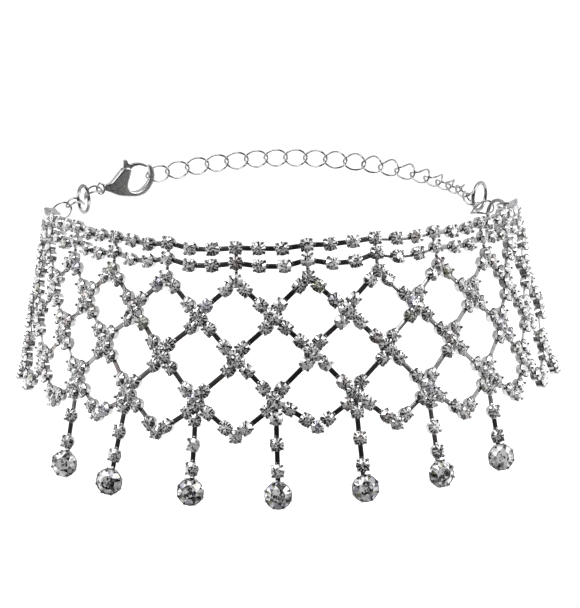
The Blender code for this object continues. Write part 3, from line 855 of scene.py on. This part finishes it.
# ---------------------------------------------------------------- drops
def build_drops(mats, chance):
    shape = big_setting()
    stone = gem(BIG_STONE, 10, True)
    for index, (number, swing, turned, stone_at, cups) in enumerate(DROPS, start=1):
        across, down, outward = surface_axes(number)
        joint = surface(number, ROWS["third_crossing"])
        t = math.radians(swing)
        hang = (down * math.cos(t) + across * math.sin(t)).normalized()
        flat = (outward - hang * outward.dot(hang)).normalized()

        def facing(at):
            """The strand twists from the net's facing side to the stone's."""
            share = min(at / (stone_at - 4.0), 1.0)
            return Matrix.Rotation(math.radians(turned * share), 3, hang) @ flat

        net = Net(chance)
        net.bars.add([], [])
        previous = joint + hang * BELOW_CROSSING
        for k, at in enumerate(cups):
            point = joint + hang * at
            net.place_cup(point, hang, facing(at))
            net.place_bar(previous, point, facing(at - 2.0), 0.8 if k == 0 else BAR_INTO_CUP)
            previous = point
        centre = joint + hang * stone_at
        # a short tab joins the last cup to the round setting
        outward = facing(stone_at)
        tab_start = previous - outward * 0.55 + hang * 0.8
        bar(net.bars, tab_start, centre - hang * 2.2 - outward * 0.75, outward)
        both = Build()
        both.verts = list(net.cups.verts)
        both.faces = list(net.cups.faces)
        both.mats = [0] * len(net.cups.faces)
        both.put(net.bars, Matrix.Identity(4), [1 + m for m in net.bars.mats])
        both.put(net.stones, Matrix.Identity(4), [3 + m for m in net.stones.mats])
        strand = both.object(f"drop_strand_{index}", [mats["cup"], mats["bar"], mats["warm"], *mats["facets"]],
                             30)
        finish_piece(strand, f"drop_chain_{index}")
        place = Matrix.Translation(centre) @ axes(hang, outward)
        setting = Build()
        setting.put(shape, place)
        finish_piece(setting.object(f"drop_mount_{index}", [mats["setting"]], 35),
                     f"drop_setting_{index}")
        # the drops turned well to the side get lighter painted reflections
        jewel = Build()
        lean = Matrix.Rotation(math.radians(chance.uniform(-4, 4)), 4, "Y")
        jewel.put(stone, place @ lean @ spin_z(chance.uniform(0, 45)),
                  big_painted_reflection_tones(stone, chance, abs(turned) > 30))
        finish_piece(jewel.object(f"drop_crystal_{index}", mats["facets"]),
                     f"drop_stone_{index}")


def big_painted_reflection_tones(shape, chance, side):
    """Painted reflection tones of a large stone: a painted dark reflection above the middle, a painted
    highlight below.

    The stones at the sides catch more light, and their faces are painted lighter.
    """
    tones = []
    # painted highlight: its turn round the stone; the table faces near it are painted white
    bright = chance.choice((200, 225, 250))
    for face, zone in zip(shape.faces, shape.mats):
        middle = sum((shape.verts[i] for i in face), Vector()) / len(face)
        angle = math.degrees(math.atan2(middle.y, middle.x)) % 360
        if zone == 3:
            tone = SMOKE
        elif side:
            tone = chance.choice((BLACK, GREY, PALE, WHITE, WHITE, WHITE))
        elif zone == 0:
            near = abs((angle - bright + 180) % 360 - 180)
            tone = chance.choice((WHITE, WHITE, WHITE, PALE, GREY) if near < 42
                                 else (BLACK, BLACK, SMOKE, SMOKE, GREY, WHITE))
        elif zone == 1:
            tone = chance.choice((SMOKE, GREY, PALE, WHITE))
        else:
            tone = chance.choice((BLACK, BLACK, SMOKE, GREY, GREY, PALE, PALE, WHITE, WHITE,
                                  VIOLET, OLIVE))
        tones.append(tone)
    return tones


# ---------------------------------------------------------------- chain
def link_shape():
    half_length = (LINK_LENGTH - LINK_WIRE) / 2
    half_width = (LINK_WIDTH - LINK_WIRE) / 2
    points = []
    for i in range(56):
        a = 2 * math.pi * i / 56
        x = half_length * math.cos(a)
        y = half_width * math.sin(a)
        twist = math.radians(LINK_TWIST_DEG) * x / half_length
        points.append(Vector((x, y * math.cos(twist), y * math.sin(twist))))
    build = Build()
    tube(build, points, LINK_WIRE / 2, 14, True)
    return build


def ring_shape():
    """A jump ring, its two cut ends nearly touching."""
    radius = (RING_DIAMETER - RING_WIRE) / 2
    gap = math.radians(RING_GAP_DEG)
    points = []
    for i in range(57):
        a = gap / 2 + (2 * math.pi - gap) * i / 56
        points.append(Vector((radius * math.cos(a), radius * math.sin(a), 0)))
    build = Build()
    tube(build, points, RING_WIRE / 2, 16, False)
    return build


def spline_point(stations, place):
    last = len(stations) - 1
    i = min(int(place), last - 1)
    t = place - i
    p1, p2 = stations[i], stations[i + 1]
    p0 = stations[i - 1] if i > 0 else p1 * 2 - p2
    p3 = stations[i + 2] if i + 2 <= last else p2 * 2 - p1
    return 0.5 * ((2 * p1) + (p2 - p0) * t + (2 * p0 - 5 * p1 + 4 * p2 - p3) * t * t
                  + (3 * p1 - p0 - 3 * p2 + p3) * t * t * t)


def even_points(stations, count):
    fine = 40 * (len(stations) - 1)
    curve = [spline_point(stations, i / 40) for i in range(fine)] + [stations[-1]]
    lengths = [0.0]
    for a, b in zip(curve, curve[1:]):
        lengths.append(lengths[-1] + (b - a).length)
    result = []
    k = 0
    for i in range(count):
        target = lengths[-1] * i / (count - 1)
        while k < len(lengths) - 2 and lengths[k + 1] < target:
            k += 1
        part = (target - lengths[k]) / (lengths[k + 1] - lengths[k])
        result.append(curve[k].lerp(curve[k + 1], part))
    return result


def link_roll(number):
    for (a, roll_a), (b, roll_b) in zip(LINK_ROLL, LINK_ROLL[1:]):
        if number <= b:
            return roll_a + (roll_b - roll_a) * (number - a) / (b - a)
    return LINK_ROLL[-1][1]


def build_chain(mats):
    shape = link_shape()
    places = []
    centres = even_points([Vector(row) for row in EXTENDER_ROUTE], EXTENDER_LINKS)
    for i, centre in enumerate(centres):
        along = centres[min(i + 1, len(centres) - 1)] - centres[max(i - 1, 0)]
        if i == 0:
            x, y, z, ax, ay, az, fx, fy, fz = HOOKED_LINK
            turn = Matrix.Translation(Vector((x, y, z))) @ axes((ax, ay, az), (fx, fy, fz))
        else:
            turn = (Matrix.Translation(centre) @ axes(along, FACING)
                    @ Matrix.Rotation(math.radians(link_roll(i + 1)), 4, "X"))
        places.append((f"extender_link_{i + 1:02d}", turn))
    for name, x, y, z, ax, ay, az, fx, fy, fz in SHORT_LINKS:
        places.append((name, Matrix.Translation(Vector((x, y, z)))
                       @ axes((ax, ay, az), (fx, fy, fz))))
    for name, turn in places:
        one = Build()
        one.put(shape, turn)
        finish_piece(one.object("chain_" + name, [mats["chain"]], 60), name)
    ring = ring_shape()
    for name, x, y, z, nx, ny, nz in RINGS:
        turn = Vector((nx, ny, nz)).to_track_quat("Z", "Y").to_matrix().to_4x4()
        one = Build()
        one.put(ring, Matrix.Translation(Vector((x, y, z))) @ turn @ spin_z(70))
        finish_piece(one.object("wire_" + name, [mats["ring"]], 60), name)


# ---------------------------------------------------------------- clasp
def rounded(outline, steps=4):
    """A closed outline drawn as a smooth curve through its points."""
    n = len(outline)
    result = []
    for i in range(n):
        p0, p1, p2, p3 = (Vector(outline[(i + k - 1) % n]) for k in range(4))
        for s in range(steps):
            t = s / steps
            result.append(0.5 * ((2 * p1) + (p2 - p0) * t + (2 * p0 - 5 * p1 + 4 * p2 - p3) * t * t
                                 + (3 * p1 - p0 - 3 * p2 + p3) * t * t * t))
    return result


def plate(name, outlines, thickness, rounding, stations=()):
    """A flat piece with round edges: the first outline is the outer one.

    Its flat sides are cut across at the stations, where its taper changes.
    """
    curve = bpy.data.curves.new(name, "CURVE")
    curve.dimensions = "2D"
    curve.fill_mode = "BOTH"
    curve.extrude = (thickness / 2 - rounding) * MM
    curve.bevel_depth = rounding * MM
    curve.bevel_resolution = 3
    curve.offset = -rounding * MM
    for outline in outlines:
        spline = curve.splines.new("POLY")
        spline.points.add(len(outline) - 1)
        for spot, point in zip(spline.points, outline):
            spot.co = (point[0] * MM, point[1] * MM, 0.0, 1.0)
        spline.use_cyclic_u = True
    holder = bpy.data.objects.new(name + "_outline", curve)
    bpy.context.scene.collection.objects.link(holder)
    bpy.context.view_layer.update()
    mesh = bpy.data.meshes.new_from_object(
        holder.evaluated_get(bpy.context.evaluated_depsgraph_get()))
    bpy.data.objects.remove(holder, do_unlink=True)
    bpy.data.curves.remove(curve)
    bm = bmesh.new()
    bm.from_mesh(mesh)
    bmesh.ops.remove_doubles(bm, verts=bm.verts, dist=0.000002)
    for station in stations:
        bmesh.ops.bisect_plane(bm, geom=bm.verts[:] + bm.edges[:] + bm.faces[:],
                               plane_co=(station * MM, 0, 0), plane_no=(1, 0, 0))
    bmesh.ops.recalc_face_normals(bm, faces=bm.faces)
    bm.to_mesh(mesh)
    bm.free()
    obj = bpy.data.objects.new(name, mesh)
    bpy.context.scene.collection.objects.link(obj)
    return obj


def cutter(matrix, round_piece):
    mesh = bpy.data.meshes.new("cutter")
    bm = bmesh.new()
    if round_piece:
        bmesh.ops.create_cone(bm, cap_ends=True, segments=48, radius1=1, radius2=1, depth=1,
                              matrix=matrix)
    else:
        bmesh.ops.create_cube(bm, size=1.0, matrix=matrix)
    bm.to_mesh(mesh)
    bm.free()
    obj = bpy.data.objects.new("cutter", mesh)
    bpy.context.scene.collection.objects.link(obj)
    return obj


def combine(obj, operand, operation):
    mod = obj.modifiers.new("combine", "BOOLEAN")
    mod.operation = operation
    mod.solver = "EXACT"
    mod.object = operand
    bpy.context.view_layer.update()
    mesh = bpy.data.meshes.new_from_object(
        obj.evaluated_get(bpy.context.evaluated_depsgraph_get()))
    obj.modifiers.clear()
    obj.data = mesh
    bpy.data.objects.remove(operand, do_unlink=True)


def flat_shading(obj):
    """The flat faces keep their own direction up to the rounded edges."""
    mod = obj.modifiers.new("faces", "WEIGHTED_NORMAL")
    mod.keep_sharp = True
    mod.weight = 100


def scaled(x, y, z, sx, sy, sz, turn_deg=0.0):
    return (Matrix.Translation(Vector((x, y, z)) * MM)
            @ Matrix.Rotation(math.radians(turn_deg), 4, "Z")
            @ Matrix.Diagonal((sx * MM, sy * MM, sz * MM, 1.0)))


def clasp_matrix():
    x = CLASP_ALONG.normalized()
    y = Vector((0, 0, 1))
    y = (y - x * y.dot(x)).normalized()
    turn = Matrix((x, y, x.cross(y))).transposed().to_4x4()
    return Matrix.Translation(Vector(CLASP_EYE) * MM) @ turn


def build_clasp(mats):
    body = plate("clasp_cast_body", [rounded(CLASP_OUTLINE)], CLASP_THICKNESS, CLASP_ROUNDING,
                 [u for u, _ in CLASP_TAPER])
    for vert in body.data.vertices:
        u = vert.co.x / MM
        share = CLASP_TAPER[0][1]
        for (u0, s0), (u1, s1) in zip(CLASP_TAPER, CLASP_TAPER[1:]):
            if u >= u0:
                share = s0 + (s1 - s0) * min((u - u0) / (u1 - u0), 1.0)
        vert.co.z *= share
    eye = Build()
    tube(eye, [Vector((EYE_RADIUS_ALONG * math.cos(2 * math.pi * i / 40),
                       EYE_CENTRE_ACROSS + EYE_RADIUS_ACROSS * math.sin(2 * math.pi * i / 40),
                       0)) for i in range(40)], 0.3, 12, True)
    combine(body, eye.object("eye", []), "UNION")
    combine(body, cutter(scaled(PIVOT[0], PIVOT[1], 0, SLOT_RADIUS, SLOT_RADIUS, SLOT_WIDTH), True),
            "DIFFERENCE")
    combine(body, cutter(scaled(PIVOT[0] + 0.75, PIVOT[1] + 1.3, 0, 3.6, 2.9, SLOT_WIDTH), False),
            "DIFFERENCE")
    combine(body, cutter(scaled(PIVOT[0] + 1.0, PIVOT[1] - 0.5, 0, 2.4, 2.2, SLOT_WIDTH, -20),
                         False), "DIFFERENCE")
    combine(body, cutter(scaled(PIVOT[0], PIVOT[1], 0, PIN_RADIUS, PIN_RADIUS,
                                CLASP_THICKNESS - 0.3), True), "UNION")
    body.data.materials.clear()
    body.data.materials.append(mats["clasp"])
    body.data.shade_smooth()
    body.data.set_sharp_from_angle(angle=math.radians(38))
    flat_shading(body)
    body.matrix_world = clasp_matrix()
    finish_piece(body, "clasp_body")

    bore = [(PIVOT[0] + LEVER_BORE * math.cos(2 * math.pi * i / 40),
             PIVOT[1] + LEVER_BORE * math.sin(2 * math.pi * i / 40)) for i in range(40)]
    lever = plate("clasp_spring_lever", [rounded(LEVER_OUTLINE), bore], LEVER_THICKNESS,
                  LEVER_ROUNDING)
    lever.data.materials.clear()
    lever.data.materials.append(mats["lever"])
    lever.data.shade_smooth()
    lever.data.set_sharp_from_angle(angle=math.radians(38))
    flat_shading(lever)
    lever.matrix_world = clasp_matrix()
    finish_piece(lever, "clasp_lever", "lever")


# ---------------------------------------------------------------- assembly
def finish_piece(obj, node, body="necklace"):
    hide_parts(node)
    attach(obj, body)


def build_studio():
    scene = bpy.context.scene
    scene.view_settings.view_transform = "Standard"

    # seamless pale floor
    mesh = bpy.data.meshes.new("floor")
    half, front = 4.0, -0.035
    z = FLOOR_Z * MM
    mesh.from_pydata([(-half, front, z), (half, front, z), (half, half, z), (-half, half, z)],
                     [], [(0, 1, 2, 3)])
    floor = bpy.data.objects.new("floor", mesh)
    scene.collection.objects.link(floor)
    mat, shader = material("floor_paper", (0.93, 0.93, 0.93), 0.9, 0.0)
    nodes, links = mat.node_tree.nodes, mat.node_tree.links
    grain = nodes.new("ShaderNodeTexNoise")
    grain.inputs["Scale"].default_value = 40.0
    tone = nodes.new("ShaderNodeMapRange")
    tone.inputs["To Min"].default_value = 0.91
    tone.inputs["To Max"].default_value = 0.95
    links.new(grain.outputs["Fac"], tone.inputs["Value"])
    links.new(tone.outputs["Result"], shader.inputs["Base Color"])
    floor.data.materials.append(mat)

    # soft surround: dark towards the front, pale behind, to the sides and above
    world = bpy.data.worlds.new("studio")
    scene.world = world
    world.use_nodes = True
    nodes, links = world.node_tree.nodes, world.node_tree.links
    nodes.clear()
    place = nodes.new("ShaderNodeTexCoord")
    split = nodes.new("ShaderNodeSeparateXYZ")
    links.new(place.outputs["Generated"], split.inputs["Vector"])

    def ramp(socket, low, high, stops):
        span = nodes.new("ShaderNodeMapRange")
        span.inputs["From Min"].default_value = low
        span.inputs["From Max"].default_value = high
        links.new(socket, span.inputs["Value"])
        ramp_node = nodes.new("ShaderNodeValToRGB")
        elements = ramp_node.color_ramp.elements
        while len(elements) < len(stops):
            elements.new(0.5)
        for element, (at, grey) in zip(elements, stops):
            element.position = at
            element.color = (grey, grey, grey, 1.0)
        links.new(span.outputs["Result"], ramp_node.inputs["Fac"])
        return ramp_node.outputs["Color"]

    depth = ramp(split.outputs["Y"], 1.0, -1.0, FRONT_TO_BACK)
    height = ramp(split.outputs["Z"], -1.0, 1.0, OVERHEAD)
    lighter = nodes.new("ShaderNodeMix")
    lighter.data_type = "RGBA"
    lighter.blend_type = "LIGHTEN"
    lighter.inputs["Factor"].default_value = 1.0
    links.new(depth, lighter.inputs["A"])
    links.new(height, lighter.inputs["B"])
    glow = nodes.new("ShaderNodeBackground")
    glow.inputs["Strength"].default_value = STUDIO_STRENGTH
    links.new(lighter.outputs["Result"], glow.inputs["Color"])
    plain = nodes.new("ShaderNodeBackground")
    plain.inputs["Color"].default_value = (1, 1, 1, 1)
    path = nodes.new("ShaderNodeLightPath")
    mix = nodes.new("ShaderNodeMixShader")
    links.new(path.outputs["Is Camera Ray"], mix.inputs["Fac"])
    links.new(glow.outputs["Background"], mix.inputs[1])
    links.new(plain.outputs["Background"], mix.inputs[2])
    out = nodes.new("ShaderNodeOutputWorld")
    links.new(mix.outputs["Shader"], out.inputs["Surface"])

    # softboxes
    for name, spot, aim, size, power in (
        ("key", (-0.55, -0.55, 0.75), (0, 0, -0.02), 0.75, 7.0),
        ("fill", (0.75, -0.35, 0.45), (0, 0, -0.02), 0.6, 4.6),
    ):
        light = bpy.data.lights.new(name, "AREA")
        light.shape = "SQUARE"
        light.size = size
        light.energy = power
        lamp = bpy.data.objects.new(name, light)
        lamp.location = spot
        lamp.rotation_mode = "QUATERNION"
        lamp.rotation_quaternion = (Vector(spot) - Vector(aim)).to_track_quat("Z", "Y")
        scene.collection.objects.link(lamp)

    light = bpy.data.lights.new("overhead", "SUN")
    light.energy = 1.7
    light.angle = math.radians(50)
    lamp = bpy.data.objects.new("overhead", light)
    lamp.visible_glossy = False
    scene.collection.objects.link(lamp)

    data = bpy.data.cameras.new("camera")
    data.sensor_width = SENSOR
    data.sensor_fit = "AUTO"
    data.lens = FOCAL_PIXELS * SENSOR / PICTURE_HEIGHT
    data.clip_start, data.clip_end = 0.01, 20.0
    camera = bpy.data.objects.new("camera", data)
    scene.collection.objects.link(camera)
    ce, se = math.cos(CAMERA_ELEVATION), math.sin(CAMERA_ELEVATION)
    cr, sr = math.cos(CAMERA_ROLL), math.sin(CAMERA_ROLL)
    back = Vector((0, -ce, se))
    right = Vector((cr, -sr * se, -sr * ce))
    up = Vector((sr, cr * se, cr * ce))
    turn = Matrix((right, up, back)).transposed().to_4x4()
    camera.matrix_world = Matrix.Translation(
        (Vector(CAMERA_TARGET) + back * CAMERA_DISTANCE) * MM) @ turn
    scene.camera = camera


def main():
    chance = random.Random(11)
    # the stones' faces, in painted reflection tones
    facets = [facet(name, (r, g, b)) for name, r, g, b in FACET_PAINTED_REFLECTIONS]
    mats = {
        "facets": facets,
        "cup": plated("cup_plating", (0.52, 0.52, 0.53), (0.26, 0.25, 0.24), 0.14, 0.28, 700),
        "bar": plated("bar_plating", (0.50, 0.50, 0.51), (0.30, 0.28, 0.28), 0.10, 0.25, 260),
        "warm": plated("bar_tarnish", (0.48, 0.43, 0.42), (0.28, 0.24, 0.23), 0.14, 0.30, 260),
        "setting": plated("setting_plating", (0.74, 0.74, 0.76), (0.40, 0.39, 0.39), 0.14, 0.3,
                          600),
        "chain": plated("chain_plating", (0.42, 0.42, 0.43), (0.28, 0.27, 0.27), 0.08, 0.16, 420),
        "ring": plated("ring_plating", (0.36, 0.36, 0.37), (0.24, 0.23, 0.23), 0.07, 0.14, 420),
        "clasp": plated("clasp_plating", (0.50, 0.50, 0.50), (0.42, 0.42, 0.41), 0.20, 0.28, 260),
        "lever": plated("lever_plating", (0.44, 0.44, 0.44), (0.38, 0.38, 0.37), 0.14, 0.22, 260),
    }
    net = Net(chance)
    build_rows(net)
    build_strands(net)
    build_posts(net)
    build_end_eyes(net)
    finish_piece(net.cups.object("net_settings", [mats["cup"]], 35),
                 "rhinestone_net")
    finish_piece(net.bars.object("net_bars", [mats["bar"], mats["warm"]], 35), "rhinestone_net")
    finish_piece(net.stones.object("net_stones", facets), "rhinestone_net")
    build_drops(mats, chance)
    build_chain(mats)
    build_clasp(mats)
    build_studio()


main()
